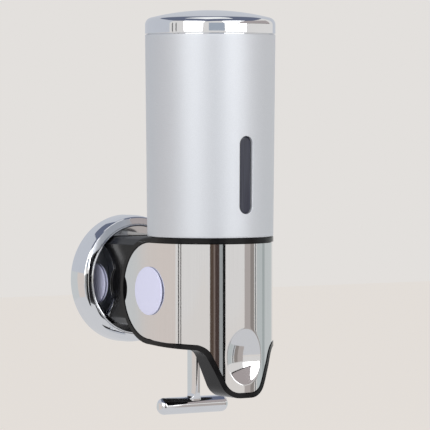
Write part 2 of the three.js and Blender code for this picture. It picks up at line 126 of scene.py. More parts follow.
def colour_property(name, description, hex_code):
    return bpy.props.FloatVectorProperty(
        name=name, description=description, default=linear(hex_code), subtype="COLOR", size=3, min=0, max=1)


def length_property(name, description, millimetres):
    return bpy.props.FloatProperty(
        name=name, description=description, default=millimetres * MM, min=0,
        subtype="DISTANCE", unit="LENGTH")


class DispenserSizes(bpy.types.PropertyGroup):
    """Sizes of the visible surfaces."""

    edge_round: length_property("Edge rounding", "Radius on the moulded tube's edges and slot", 0.4)
    tube_wall: length_property("Tube wall", "Wall of the cover tube", 1.6)
    sheet: length_property("Steel sheet", "Thickness of the polished wrap", 0.8)
    dent_radius: length_property("Dent radius", "Radius of the ball-shaped thumb dent", 30.5)
    dent_depth: length_property("Dent depth", "Depth of the thumb dent", 3.9)
    cap_round: length_property("Cap rounding", "Radius round the shoulder of the cap", 4.0)


class DispenserFinishes(bpy.types.PropertyGroup):
    """Colours of the finishes."""

    silver: colour_property("Silver paint", "Satin silver of the cover tube", "#CCD0D6")
    chrome: colour_property("Chrome", "Plated cap, flange and handle", "#EEF0F3")
    steel: colour_property("Stainless steel", "Mirror-polished wrap", "#EBECEE")
    black: colour_property("Black ABS", "Gloss black mouldings", "#101012")
    smoke: colour_property("Smoked window", "Tinted polycarbonate", "#2B2E3B")
    lavender: colour_property("Disc film", "Pale lavender film on the discs", "#CDD0EB")
    zinc: colour_property("Zinc", "Die-cast wall plate", "#9C9FA3")
    screw: colour_property("Screw steel", "Zinc-plated screws, pin and spring", "#B4B6B8")
    bottle: colour_property("Polyethylene", "Milky reservoir", "#E4E7E8")
    acetal: colour_property("Acetal", "Off-white pump mouldings", "#EAE8E1")
    silicone: colour_property("Silicone", "Valve, tube and nozzle", "#D8DAD6")
    rubber: colour_property("Rubber", "Black seals", "#1E1E20")


def sizes():
    return bpy.context.scene.dispenser_sizes


def finishes():
    return bpy.context.scene.dispenser_finishes


# ---- materials ----


def add_node(tree, kind, links=None, **settings):
    """Adds one node, sets its fields or sockets by name, and links its inputs."""
    node = tree.nodes.new(kind)
    for name, value in settings.items():
        if hasattr(node, name):
            setattr(node, name, value)
        else:
            node.inputs[name.replace("_", " ")].default_value = value
    for name, source in (links or {}).items():
        tree.links.new(source, node.inputs[name])
    return node


def blank_material(name):
    old = bpy.data.materials.get(name)
    if old:
        return old, None, None
    material = bpy.data.materials.new(name)
    material.use_nodes = True
    tree = material.node_tree
    return material, tree, tree.nodes["Principled BSDF"]


def shades(colour, spread):
    """A darker and a lighter neighbour of a colour, as RGBA."""
    rgb = np.array(colour)
    return [*np.clip(rgb * (1 - spread), 0, 1), 1], [*np.clip(rgb * (1 + spread), 0, 1), 1]


DARKEST, LIGHTEST = 0.3, 0.7  # noise values that get the darker and the lighter shade


def patterned(name, colour, size_mm, *, spread, rough, metallic=0.0, bump=0.0, stretch=(1, 1, 1), **fixed):
    """Base colour, roughness and bump all follow one noise whose grains are size_mm across."""
    material, tree, shader = blank_material(name)
    if tree is None:
        return material
    place = add_node(tree, "ShaderNodeTexCoord")
    scaled = add_node(tree, "ShaderNodeMapping", {"Vector": place.outputs["Object"]})
    scaled.inputs["Scale"].default_value = [s / (size_mm * MM) for s in stretch]
    noise = add_node(tree, "ShaderNodeTexNoise", {"Vector": scaled.outputs["Vector"]}, Scale=1.0, Detail=3.0)
    ramp = add_node(tree, "ShaderNodeValToRGB", {"Fac": noise.outputs["Fac"]})
    low, high = shades(colour, spread)
    ramp.color_ramp.elements[0].position = DARKEST
    ramp.color_ramp.elements[0].color = low
    ramp.color_ramp.elements[1].position = LIGHTEST
    ramp.color_ramp.elements[1].color = high
    tree.links.new(ramp.outputs["Color"], shader.inputs["Base Color"])
    gloss = add_node(tree, "ShaderNodeMapRange", {"Value": noise.outputs["Fac"]})
    gloss.inputs["To Min"].default_value, gloss.inputs["To Max"].default_value = rough
    tree.links.new(gloss.outputs["Result"], shader.inputs["Roughness"])
    if bump:
        grain = {"Height": noise.outputs["Fac"]}
        relief = add_node(tree, "ShaderNodeBump", grain, Strength=1.0, Distance=bump * MM)
        tree.links.new(relief.outputs["Normal"], shader.inputs["Normal"])
    shader.inputs["Metallic"].default_value = metallic
    for socket, value in fixed.items():
        shader.inputs[socket.replace("_", " ")].default_value = value
    return material


def silver_paint():
    """Sprayed satin metallic on ABS under a thin clear coat, its flakes drawn coarse at 0.35 mm to show."""
    return patterned("sprayed silver paint", finishes().silver, 0.35, spread=0.05, metallic=0.65,
                     rough=(0.46, 0.54), bump=0.002, Coat_Weight=0.1, Coat_Roughness=0.4)


def chrome_plate():
    """Bright chromium over nickel: near-perfect mirror, with handling haze some 12 mm across."""
    return patterned("bright chrome plate", finishes().chrome, 12, spread=0.012, metallic=1.0,
                     rough=(0.03, 0.07))


def polished_steel():
    """Buffed stainless sheet: a mirror with faint upright lines, drawn 0.4 mm apart so that they show."""
    return patterned("buffed stainless steel", finishes().steel, 0.4, spread=0.015, metallic=1.0,
                     rough=(0.035, 0.075), stretch=(1, 1, 0.01), bump=0.0004)


def black_abs():
    """Injection-moulded gloss ABS: deep black with a trace of orange peel 1.2 mm across."""
    return patterned("gloss black ABS", finishes().black, 1.2, spread=0.12, rough=(0.14, 0.2), bump=0.003,
                     IOR=1.5, Specular_IOR_Level=0.24)


def smoked_window():
    """Tinted polycarbonate: dark and glossy, with faint upright flow lines 0.6 mm apart."""
    return patterned("smoked polycarbonate", finishes().smoke, 0.6, spread=0.3, rough=(0.06, 0.12),
                     stretch=(1, 1, 0.03), IOR=1.58)


def disc_film():
    """Matt vinyl film: even lavender with a fine grain of 0.25 mm."""
    return patterned("lavender vinyl film", finishes().lavender, 0.25, spread=0.015,
                     rough=(0.38, 0.46), bump=0.002, IOR=1.5)


def cast_zinc():
    """Raw die-cast zinc: dull and cloudy, flow marks about 4 mm across."""
    return patterned("die-cast zinc", finishes().zinc, 4, spread=0.1, metallic=1.0,
                     rough=(0.42, 0.56), bump=0.01)


def screw_steel():
    """Zinc-plated steel: bright but slightly clouded, 0.8 mm mottling."""
    return patterned("zinc-plated steel", finishes().screw, 0.8, spread=0.07, metallic=1.0,
                     rough=(0.22, 0.34))


def milky_polyethylene():
    """Blow-moulded polyethylene: milky and waxy, with thickness clouds 9 mm across."""
    return patterned("milky polyethylene", finishes().bottle, 9, spread=0.025, rough=(0.38, 0.48),
                     IOR=1.51, Subsurface_Weight=0.15, Subsurface_Scale=0.004)


def white_acetal():
    """Moulded acetal: smooth off-white with a waxy 2 mm variation."""
    return patterned("off-white acetal", finishes().acetal, 2, spread=0.02, rough=(0.32, 0.4), IOR=1.48)


def silicone():
    """Cured silicone rubber: cloudy grey-white and slightly tacky, 1.5 mm clouds."""
    return patterned("cloudy silicone", finishes().silicone, 1.5, spread=0.04, rough=(0.45, 0.58),
                     IOR=1.41, Subsurface_Weight=0.1, Subsurface_Scale=0.002)


def black_rubber():
    """Nitrile rubber: matt black with a 0.3 mm bloom."""
    return patterned("black nitrile rubber", finishes().rubber, 0.3, spread=0.25, rough=(0.65, 0.8),
                     IOR=1.52)


FINISH_OF_SLOT = {
    "chrome": chrome_plate,
    "polished_steel": polished_steel,
    "silver_paint": silver_paint,
    "black_abs": black_abs,
    "smoked_pc": smoked_window,
    "lavender_vinyl": disc_film,
    "zinc": cast_zinc,
    "screw_steel": screw_steel,
    "milky_pe": milky_polyethylene,
    "white_acetal": white_acetal,
    "silicone": silicone,
    "black_rubber": black_rubber,
}
SLOT_OF_NODE = {part["node"]: part["material_slot"] for part in frame["record"]["subparts"]}

# ---- surfaces ----


def grid_faces(rows, columns, closed_rows=False, closed_columns=False, first=0):
    """Quads between neighbouring points of a rows by columns grid whose points run along each row."""
    index = np.arange(rows * columns).reshape(rows, columns) + first
    if closed_rows:
        index = np.vstack([index, index[:1]])
    if closed_columns:
        index = np.hstack([index, index[:, :1]])
    quads = [index[:-1, :-1], index[:-1, 1:], index[1:, 1:], index[1:, :-1]]
    return np.stack(quads, -1).reshape(-1, 4)


def ribbon(one, other):
    """Quads between two equally long runs of point numbers."""
    return np.stack([one[:-1], one[1:], other[1:], other[:-1]], -1)


DOUBLE = 2e-6  # points closer than this, in metres, are one point
SLIVER = 1e-7


def as_piece(name, node, points, faces, sharp):
    """A closed piece from points in metres, smooth but for edges over `sharp` degrees, with its faces out."""
    mesh = bpy.data.meshes.new(name)
    mesh.from_pydata(np.asarray(points).tolist(), [], np.asarray(faces).tolist())
    work = bmesh.new()
    work.from_mesh(mesh)
    bmesh.ops.remove_doubles(work, verts=work.verts, dist=DOUBLE)
    bmesh.ops.dissolve_degenerate(work, edges=work.edges, dist=SLIVER)
    bmesh.ops.delete(work, geom=[edge for edge in work.edges if edge.is_wire], context="EDGES")
    bmesh.ops.recalc_face_normals(work, faces=work.faces)
    if work.calc_volume(signed=True) < 0:
        bmesh.ops.reverse_faces(work, faces=work.faces)
    open_edges = sum(1 for edge in work.edges if not edge.is_manifold)
    work.to_mesh(mesh)
    work.free()
    if open_edges:
        raise RuntimeError(f"{name} has {open_edges} open edges")
    return finish_piece(name, node, mesh, sharp)


def finish_piece(name, node, mesh, sharp):
    """Links a mesh as the piece that stands for a CAD node, with that node's slot, finish and body."""
    mesh.shade_smooth()
    mesh.set_sharp_from_angle(angle=math.radians(sharp))
    piece = bpy.data.objects.new(name, mesh)
    bpy.context.scene.collection.objects.link(piece)
    slot = SLOT_OF_NODE[node]
    mesh.materials.clear()
    mesh.materials.append(FINISH_OF_SLOT[slot]())
    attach(piece, body_of(frame["nodes"][node])[0])
    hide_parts(node)
    return piece


def rounded(corners, steps):
    """A closed outline whose corners (u, v, radius) are replaced by arcs that touch both sides."""
    path = []
    count = len(corners)
    for i, (u, v, radius) in enumerate(corners):
        here = np.array([u, v])
        back = np.array(corners[i - 1][:2]) - here
        on = np.array(corners[(i + 1) % count][:2]) - here
        if not radius:
            path.append(here)
            continue
        back = back / np.linalg.norm(back)
        on = on / np.linalg.norm(on)
        half = math.acos(np.clip(back @ on, -1, 1)) / 2
        centre = here + (back + on) / np.linalg.norm(back + on) * radius / math.sin(half)
        start = here + back * radius / math.tan(half) - centre
        end = here + on * radius / math.tan(half) - centre
        t = np.linspace(0, 1, steps + 1)[:, None]
        sweep = math.pi - 2 * half
        arc = (np.sin((1 - t) * sweep) * start + np.sin(t * sweep) * end) / math.sin(sweep)
        path.extend(arc + centre)
    return np.array(path)


def turned(profile, sides, axis, centre):
    """A closed outline of (radius, height) turned round an axis: radius times cosine and sine, and height."""
    angle = np.linspace(0, 2 * math.pi, sides, endpoint=False)
    radius, height = profile[:, :1], profile[:, 1:]
    across, up = radius * np.cos(angle), radius * np.sin(angle)
    along = np.broadcast_to(height, across.shape)
    order = {"x": (along, across, up), "y": (across, along, up), "z": (across, up, along)}[axis]
    points = np.stack(order, -1).reshape(-1, 3) + centre
    return points, grid_faces(len(profile), sides, closed_rows=True, closed_columns=True)


def joined(*surfaces):
    """Several surfaces as one list of points and one of faces."""
    points, faces, first = [], [], 0
    for surface_points, surface_faces in surfaces:
        points.append(surface_points)
        faces.append(np.asarray(surface_faces) + first)
        first += len(surface_points)
    return np.concatenate(points), np.concatenate(faces)


# ---- cover tube and window ----

SLOT = {"half_width": 4.15, "reach": 16.85, "height": 63.4, "blend": 12}
TUBE_FLARE = 1.1  # the radius grows by this from the lower edge to the upper one


def quarter_inset(depth, radius):
    """How far a rounded corner has drawn in at that depth below its start: r - sqrt(r^2 - (r - depth)^2)."""
    return radius - np.sqrt(np.clip(radius**2 - np.clip(radius - depth, 0, None) ** 2, 0, None))


def tube_surface():
    """A slightly flared tube, r = r0 + draft z, on a grid of arc length s and height z.

    The grid opens like a buttonhole at the front: within b of the slot, s becomes w + s (b - w) / b, where
    w(z) is the slot's half width, and the lip falls inwards by a quarter circle of the edge rounding.
    """
    low, high = body_height(TUBE_LOW.z), body_height(TUBE_HIGH.z)
    top_r = TUBE_HIGH.x / MM
    bottom_r = top_r - TUBE_FLARE
    wall, lip = sizes().tube_wall / MM, sizes().edge_round / MM
    half, blend = SLOT["half_width"], SLOT["blend"]
    slot_low, slot_high = SLOT["height"] - SLOT["reach"], SLOT["height"] + SLOT["reach"]
    edge = lip * (1 - np.cos(np.linspace(0, math.pi / 2, 7)))
    round_end = half * np.cos(np.linspace(0, math.pi / 2, 19))
    rows = np.unique(np.round(np.concatenate([
        low + edge,
        np.linspace(low + 2, slot_low - half - 1, 12),
        slot_low - round_end,
        np.linspace(slot_low, slot_high, 16),
        slot_high + round_end,
        np.linspace(slot_high + half + 1, high - 2, 16),
        high - edge,
    ]), 5))
    beyond = np.clip(np.abs(rows - SLOT["height"]) - SLOT["reach"], 0, None)
    width = np.sqrt(np.clip(half**2 - np.where(beyond > half - 1e-4, half, beyond) ** 2, 0, None))
    near = np.array([0, 0.04, 0.1, 0.18, 0.28, 0.42, 0.6, 0.9, 1.5, 2.5, 4, 6, 8, 10, blend])
    far = np.linspace(blend / top_r, math.pi, 66)[1:]
    stretch = near + width[:, None] * (blend - near) / blend
    inwards = quarter_inset(stretch - width[:, None], lip) * (width > 0)[:, None]
    radius = bottom_r + (top_r - bottom_r) * (rows - low) / (high - low)
    end_inset = quarter_inset(np.minimum(rows - low, high - rows), lip)
    angle = np.hstack([stretch / radius[:, None], np.broadcast_to(far, (len(rows), len(far)))])
    inset = np.hstack([inwards, np.zeros((len(rows), len(far)))]) + end_inset[:, None]
    angle = np.hstack([angle, 2 * math.pi - angle[:, -2::-1]])
    inset = np.hstack([inset, inset[:, -2::-1]])
    height = np.broadcast_to(rows[:, None], angle.shape)

    def sheet(r):
        return np.stack([r * np.sin(angle), -r * np.cos(angle), height], -1).reshape(-1, 3)

    outer = sheet(radius[:, None] - inset)
    inner = sheet(np.broadcast_to(radius[:, None] - wall, angle.shape))
    count = angle.shape
    total = angle.size
    index = np.arange(total).reshape(count)
    open_rows = np.flatnonzero(width > 0)
    slit = np.arange(open_rows[0] - 1, open_rows[-1] + 2)
    faces = [
        grid_faces(*count),
        grid_faces(*count, first=total)[:, ::-1],
        ribbon(index[0], index[0] + total),
        ribbon(index[-1], index[-1] + total)[:, ::-1],
        ribbon(index[slit, 0], index[slit, 0] + total),
        ribbon(index[slit, -1], index[slit, -1] + total)[:, ::-1],
    ]
    return in_row(np.concatenate([outer, inner])), np.concatenate(faces)


WINDOW = {"nose_half": 3.85, "plate_half": 7, "nose_r": 33.5, "step_r": 32.4, "back_r": 31.1}


def stadium(radius, reach, sides):
    """x and z of a round-ended outline: a circle whose upper and lower halves are moved apart by 2 reach."""
    angle = np.linspace(0, 2 * math.pi, sides, endpoint=False) + math.pi / sides
    return radius * np.cos(angle), radius * np.sin(angle) + reach * np.sign(np.sin(angle))


def window_surface(sides=64):
    """Rings of slot outlines, each on a cylinder of its own radius: the nose, its step and the back plate."""
    nose, plate = WINDOW["nose_half"], WINDOW["plate_half"]
    nose_r, step_r, back_r = WINDOW["nose_r"], WINDOW["step_r"], WINDOW["back_r"]
    rings = [
        (0, nose_r), (1.5, nose_r), (2.8, nose_r), (3.4, nose_r),
        (nose - 0.2, nose_r - 0.06), (nose - 0.05, nose_r - 0.2), (nose, nose_r - 0.4), (nose, step_r),
        (5.5, step_r), (plate, step_r), (plate, back_r), (4, back_r), (0, back_r),
    ]
    sheets = []
    for ring, cylinder in rings:
        x, z = stadium(ring, SLOT["reach"], sides)
        sheets.append(np.stack([x, -np.sqrt(cylinder**2 - x**2), z + SLOT["height"]], -1))
    return in_row(np.concatenate(sheets)), grid_faces(len(rings), sides, closed_columns=True)


class DISPENSER_OT_cover_tube(bpy.types.Operator):
    """Add the silver cover tube with its slot"""

    bl_idname = "dispenser.cover_tube"
    bl_label = "Cover tube"

    def execute(self, context):
        as_piece("silver_cover_tube", "cover_tube", *tube_surface(), sharp=40)
        return {"FINISHED"}


class DISPENSER_OT_window(bpy.types.Operator):
    """Add the smoked level window"""

    bl_idname = "dispenser.window"
    bl_label = "Level window"

    def execute(self, context):
        as_piece("smoked_level_window", "window_lens", *window_surface(), sharp=40)
        return {"FINISHED"}


# ---- cap and flange ----

CAP = {"crown": 131.7, "meet": 30.0, "wall": 2.0, "seam": 0.3}
CAP_PLUG = {"inside": 31.8, "outside": 33.4, "groove": 32.5}


def cap_surface():
    """A turned shell under a dome, top - crown + sqrt(crown^2 - r^2), which ends in a straight shoulder.

    A plug with a groove for the seal hangs below the rim, and the underside follows the dome one wall lower.
    """
    low, high = body_height(TUBE_HIGH.z) + CAP["seam"], body_height(CAP_HIGH.z)
    plug = body_height(CAP_LOW.z)
    r, crown, meet = CAP_HIGH.x / MM, CAP["crown"], CAP["meet"]
    inside, outside, groove = CAP_PLUG["inside"], CAP_PLUG["outside"], CAP_PLUG["groove"]
    across = np.linspace(meet, 0, 22)
    dome = high - crown + np.sqrt(crown**2 - across**2)
    slope = -meet / math.sqrt(crown**2 - meet**2)
    shoulder = dome[0] + slope * (r - meet)
    profile = rounded([
        (inside, plug, 0.3), (outside, plug, 0.3), (outside, plug + 1.4, 0), (groove, plug + 1.4, 0),
        (groove, plug + 3.2, 0), (outside, plug + 3.2, 0), (outside, low, 0), (r, low, 0.3),
        (r, shoulder, sizes().cap_round / MM),
        *((u, v, 0) for u, v in zip(across, dome)),
        *((u, v - CAP["wall"], 0) for u, v in zip(across[::-1], dome[::-1])),
        (inside, low + 4, 1),
    ], steps=12)
    points, faces = turned(profile, 160, "z", (0, 0, 0))
    return in_row(points), faces


class DISPENSER_OT_top_cap(bpy.types.Operator):
    """Add the chrome lift-off cap"""

    bl_idname = "dispenser.top_cap"
    bl_label = "Top cap"

    def execute(self, context):
        as_piece("chrome_top_cap", "top_cap", *cap_surface(), sharp=50)
        return {"FINISHED"}


FLANGE = {"opening": 29.9, "wall": 2.3}
WEB = {"height": 24.8, "front": 1.0, "rear": 2.6, "overlap": 0.4}


def web_surface(r, deep):
    """The plate that closes the opening above the arm: a circle's segment over a level chord, extruded."""
    half = math.acos(WEB["height"] / r)
    angle = np.linspace(-half, half, 49)
    arc = np.stack([r * np.sin(angle), r * np.cos(angle)], -1)
    chord = np.stack([np.linspace(arc[-1, 0], arc[0, 0], 9)[1:-1], np.full(7, WEB["height"])], -1)
    outline = np.concatenate([arc, chord])
    centre = np.broadcast_to([0, (WEB["height"] + r) / 2], outline.shape)
    front, rear = WEB["front"] - deep, WEB["rear"] - deep
    sheets = [np.column_stack([ring[:, 0], np.full(len(ring), y), ring[:, 1]])
              for ring, y in ((centre, front), (outline, front), (outline, rear), (centre, rear))]
    return np.concatenate(sheets), grid_faces(len(sheets), len(outline), closed_columns=True)


def flange_surface():
    """An outline of (radius, distance from the wall) turned round the wall's normal, with the web in it.

    It runs up the rounded outer face, over a fine groove round the opening and back down inside.
    """
    r, deep = FLANGE_HIGH.x / MM, -FLANGE_LOW.y / MM
    opening, wall = FLANGE["opening"], FLANGE["wall"]
    outline = rounded([
        (r, 0, 0.2), (r - 0.15, 7.5, 6), (r - 1.0, 12.9, 1.1), (r - 4.9, deep - 0.2, 0.2),
        (r - 5.1, deep - 0.75, 0.1), (r - 5.3, deep - 0.2, 0.2), (r - 5.6, deep, 0.15),
        (opening, deep - 0.25, 0.3), (opening, deep - 3, 0.3),
        (r - wall, deep - 3.6, 0.4), (r - wall, 0, 0.2),
    ], steps=5)
    ring = turned(outline * [1, -1], 160, "y", (0, 0, 0))
    points, faces = joined(ring, web_surface(opening + WEB["overlap"], deep))
    return points * MM, faces


class DISPENSER_OT_wall_flange(bpy.types.Operator):
    """Add the chrome wall flange"""

    bl_idname = "dispenser.wall_flange"
    bl_label = "Wall flange"

    def execute(self, context):
        as_piece("chrome_wall_flange", "wall_flange", *flange_surface(), sharp=50)
        return {"FINISHED"}


# ---- steel wrap ----

WRAP = {"r": 34.2, "half": 26.3, "rear": 8.0, "front_bottom": -28.4, "notch_y": 42.6, "notch_r": 11.5}
FALL_RUN = 38.0  # the side's lower edge falls from -half to front_bottom over this length
LOBE = {"r": 8.5, "x": 3.6, "z": -45.7, "slant": 24.0, "fillet": 10.0, "root": -27.6}
DENT = {"height": -34.7, "soft": 0.15, "within": 20}


def lobe_bottom(x):
    """Lower edge of the lobe at x: its flat foot, foot circle, slanted flank and hollow fillet in turn."""
    turn = math.radians(LOBE["slant"])
    r, cx, cz, fillet = LOBE["r"], LOBE["x"], LOBE["z"], LOBE["fillet"]
    flank = np.array([cx + r * math.cos(turn), cz - r * math.sin(turn)])
    hollow_z = LOBE["root"] - fillet
    hollow_x = flank[0] + (hollow_z - flank[1]) * math.tan(turn) + fillet / math.cos(turn)
    start = hollow_x - fillet * math.cos(turn)
    away = np.abs(x)
    foot = cz - np.sqrt(np.clip(r**2 - np.clip(away - cx, 0, r) ** 2, 0, None))
    slope = flank[1] + (away - flank[0]) / math.tan(turn)
    hollow = hollow_z + np.sqrt(np.clip(fillet**2 - np.clip(hollow_x - away, 0, fillet) ** 2, 0, None))
    return np.where(away < flank[0], foot, np.where(away < start, slope, hollow))


def wrap_bottom(x, y):
    """Lower edge of the wrap: the lobe, or the gently falling line of the side where that is lower."""
    fall = (WRAP["front_bottom"] + WRAP["half"]) / FALL_RUN
    side = -WRAP["half"] + fall * (WRAP["rear"] - y)
    return np.minimum(side, lobe_bottom(x))


def dented(points, shrink):
    """y pushed back to the dent's ball where that lies behind the sheet: y + s log(1 + e^((ball - y) / s)).

    The softness s rounds the dent's rim over a fraction of a millimetre.
    """
    radius, depth, soft = sizes().dent_radius / MM + shrink, sizes().dent_depth / MM, DENT["soft"]
    centre_y = -(WRAP["r"] - depth + sizes().dent_radius / MM)
    x, y, z = points[..., 0], points[..., 1], points[..., 2]
    from_middle = x**2 + (z - DENT["height"]) ** 2
    ball = centre_y + np.sqrt(np.clip(radius**2 - from_middle, 0, None))
    gap = np.clip((ball - y) / soft, -30, 30)
    pushed = y + soft * np.log1p(np.exp(gap))
    near = (y < -DENT["within"]) & (from_middle < DENT["within"] ** 2)
    points[..., 1] = np.where(near, pushed, y)
    return points


def wrap_sheet(r, trim):
    """Side, front and side again on one grid: rows run from the lower edge to the upper one.

    The front is x = r cos a, y = r sin a. Each side is ruled from its seam with the front to the half-round
    rear edge, which the notch's circle pulls in. Points are closest over the lobe and the dent.
    """
    rise = np.linspace(0, 1, 190)
    rise = rise + 0.035 * np.sin(2 * math.pi * rise)
    top = WRAP["half"] - trim
    fine = 24
    x = np.concatenate([
        np.linspace(-r, -fine, 24)[:-1],
        np.linspace(-fine, fine, 150),
        np.linspace(fine, r, 24)[1:],
    ])
    spread = np.arccos(np.clip(x / r, -1, 1))
    angle = 2 * math.pi - np.unique(np.concatenate([spread, np.linspace(0, math.pi, 40)]))[::-1]
    x, y = r * np.cos(angle), r * np.sin(angle)
    bottom = wrap_bottom(x, y) + trim
    front = np.stack(np.broadcast_arrays(x, y, bottom + (top - bottom) * rise[:, None]), -1)
    front = dented(front, WRAP["r"] - r)
    tilt = (rise - 0.5) * math.pi
    notch_r = WRAP["notch_r"] + trim
    edge_z = top * np.sin(tilt)
    edge_y = WRAP["rear"] + top * np.cos(tilt)
    bite = WRAP["notch_y"] - np.sqrt(np.clip(notch_r**2 - edge_z**2, 0, None))
    edge_y = np.where(np.abs(edge_z) < notch_r, np.minimum(edge_y, bite), edge_y)
    along = np.linspace(0, 1, 22)[1:]
    seam_z = front[:, 0, 2]
    side_y = edge_y[:, None] * along
    side_z = seam_z[:, None] + (edge_z - seam_z)[:, None] * along
    sides = [np.stack([np.full_like(side_y, side * r), side_y, side_z], -1) for side in (-1, 1)]
    return np.concatenate([sides[0][:, ::-1], front, sides[1]], 1)


def wrap_surface(trim=0.12):
    """The outer sheet, the same sheet one thickness further in, and a ribbon that joins their edges."""
    thick = sizes().sheet / MM
    outer, inner = wrap_sheet(WRAP["r"], trim), wrap_sheet(WRAP["r"] - thick, trim)
    count = outer.shape[:2]
    total = count[0] * count[1]
    index = np.arange(total).reshape(count)
    loop = np.concatenate([index[0], index[1:, -1], index[-1, -2::-1], index[-2:0:-1, 0], index[:1, 0]])
    points = np.concatenate([outer.reshape(-1, 3), inner.reshape(-1, 3)])
    faces = [grid_faces(*count), grid_faces(*count, first=total)[:, ::-1], ribbon(loop, loop + total)]
    return in_row(points), np.concatenate(faces)


class DISPENSER_OT_steel_wrap(bpy.types.Operator):
    """Add the polished wrap with its thumb dent"""

    bl_idname = "dispenser.steel_wrap"
    bl_label = "Steel wrap"

    def execute(self, context):
        as_piece("polished_steel_wrap", "steel_wrap", *wrap_surface(), sharp=40)
        return {"FINISHED"}


# ---- discs ----


def disc_surface(node, side):
    """A flat disc turned round the x axis, its outer edge rounded and its face a slight cone 0.15 high."""
    low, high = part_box(node)
    r, thick = (high.z - low.z) / 2 / MM, (high.x - low.x) / MM
    profile = rounded([(0, 0, 0), (r, 0, 0), (r, thick - 0.15, 0.5), (0, thick, 0)], steps=6)
    base = low.x if side > 0 else high.x
    centre = np.array([base, middle(node).y, middle(node).z]) / MM
    points, faces = turned(profile * [1, side], 96, "x", centre)
    return points * MM, faces


class DISPENSER_OT_side_discs(bpy.types.Operator):
    """Add the two lavender discs on the wrap"""

    bl_idname = "dispenser.side_discs"
    bl_label = "Side discs"

    def execute(self, context):
        for label, side in (("left", -1), ("right", 1)):
            node = f"side_disc_{label}"
            as_piece(f"lavender_disc_{label}", node, *disc_surface(node, side), sharp=40)
        return {"FINISHED"}


# ---- handle ----

BAR = {"r": 4.65, "end_round": 3.4}
BLADE = {"half_x": 1.7, "half_y": 4.55, "top": -15.8, "flare": 2.2, "widest": 3.6, "buried": 2.6}
FLARE_START = 3.9  # height above the bar's axis


def blade_surface(centre_y, bar_z, sides=48):
    """Rounded rectangles stacked up the blade, whose half width and depth change with the height h.

    Above the flare's start s, the half width is 1.7 + 2.2 e^(-(h - s) / 1.1) but never over the widest, and
    the half depth is 4.55 - 1.9 e^(-(h - s) / 1.5). Each rectangle is |cos a|^p by |sin a|^p, signs kept.
    """
    rise = np.concatenate([np.linspace(0, 9, 28), np.linspace(10, BLADE["top"] - bar_z, 12)])
    above = np.clip(rise - FLARE_START, 0, None)
    angle = np.linspace(0, 2 * math.pi, sides, endpoint=False)
    power = 0.35
    across = np.sign(np.cos(angle)) * np.abs(np.cos(angle)) ** power
    along = np.sign(np.sin(angle)) * np.abs(np.sin(angle)) ** power
    half_x = np.minimum(BLADE["half_x"] + BLADE["flare"] * np.exp(-above / 1.1), BLADE["widest"])[:, None]
    open_y = BLADE["half_y"] - 1.9 * np.exp(-above / 1.5)
    half_y = np.where(rise < FLARE_START, BLADE["buried"], open_y)[:, None]
    height = (bar_z + rise)[:, None]
    rings = np.stack(np.broadcast_arrays(half_x * across, centre_y + half_y * along, height), -1)
    ends = [rings[i].mean(0, keepdims=True).repeat(sides, 0) for i in (0, -1)]
    points = np.concatenate([ends[0], rings.reshape(-1, 3), ends[1]])
    return points, grid_faces(len(rise) + 2, sides, closed_columns=True)


def handle_surface():
    """A round bar turned about the x axis, its ends rounded, with the blade standing on it."""
    low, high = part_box("t_handle")
    r, half, end = BAR["r"], high.x / MM, BAR["end_round"]
    bar_y = (high.y - AXIS_Y) / MM - r
    bar_z = body_height(low.z) + r
    blade_y = (low.y - AXIS_Y) / MM + BLADE["half_y"]
    profile = rounded([(0, -half, 0), (r, -half, end), (r, half, end), (0, half, 0)], steps=12)
    points, faces = joined(turned(profile, 64, "x", (0, bar_y, bar_z)), blade_surface(blade_y, bar_z))
    return in_row(points), faces


class DISPENSER_OT_handle(bpy.types.Operator):
    """Add the chrome T-handle"""

    bl_idname = "dispenser.handle"
    bl_label = "T-handle"

    def execute(self, context):
        as_piece("chrome_T-handle", "t_handle", *handle_surface(), sharp=50)
        return {"FINISHED"}


# ---- black mouldings and the rest ----

SOFTENED = {
    "housing": 0.35,
    "arm": 0.5,
    "tray": 0.25,
    "arm_side_plate_left": 0.15,
    "arm_side_plate_right": 0.15,
    "arm_side_disc_left": 0.25,
    "arm_side_disc_right": 0.25,
    "lever_crank": 0.3,
    "wall_plate": 0.2,
}
SHARP_EDGE = 24  # degrees, and over this an edge is bevelled


def merged(node, flatness=None):
    """A copy of the CAD solid with its doubled points merged and, if asked, its flat faces joined up."""
    mesh = bpy.data.meshes.new(f"merged {node}")
    work = bmesh.new()
    work.from_mesh(frame["nodes"][node].data)
    bmesh.ops.remove_doubles(work, verts=work.verts, dist=DOUBLE)
    if flatness:
        limit = math.radians(flatness)
        bmesh.ops.dissolve_limit(work, angle_limit=limit, verts=work.verts, edges=work.edges)
    work.to_mesh(mesh)
    work.free()
    return mesh


def softened(node, width):
    """A copy of the CAD solid with its sharp edges bevelled."""
    piece = finish_piece(f"{node}_softened", node, merged(node, flatness=0.3), SHARP_EDGE)
    bevel = piece.modifiers.new("soft edges", "BEVEL")
    bevel.width = width * MM
    bevel.segments = 2
    bevel.limit_method = "ANGLE"
    bevel.angle_limit = math.radians(SHARP_EDGE)
    bevel.harden_normals = True


class DISPENSER_OT_mouldings(bpy.types.Operator):
    """Add the black mouldings, arm plates and discs, crank and wall plate with softened edges"""

    bl_idname = "dispenser.mouldings"
    bl_label = "Mouldings"

    def execute(self, context):
        for node, width in SOFTENED.items():
            softened(node, width)
        return {"FINISHED"}


class DISPENSER_OT_spring(bpy.types.Operator):
    """Add the plunger's spring on a mesh of its own"""

    bl_idname = "dispenser.spring"
    bl_label = "Plunger spring"

    def execute(self, context):
        spring = finish_piece("coil_spring", "plunger_spring", merged("plunger_spring"), sharp=40)
        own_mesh(spring)
        return {"FINISHED"}


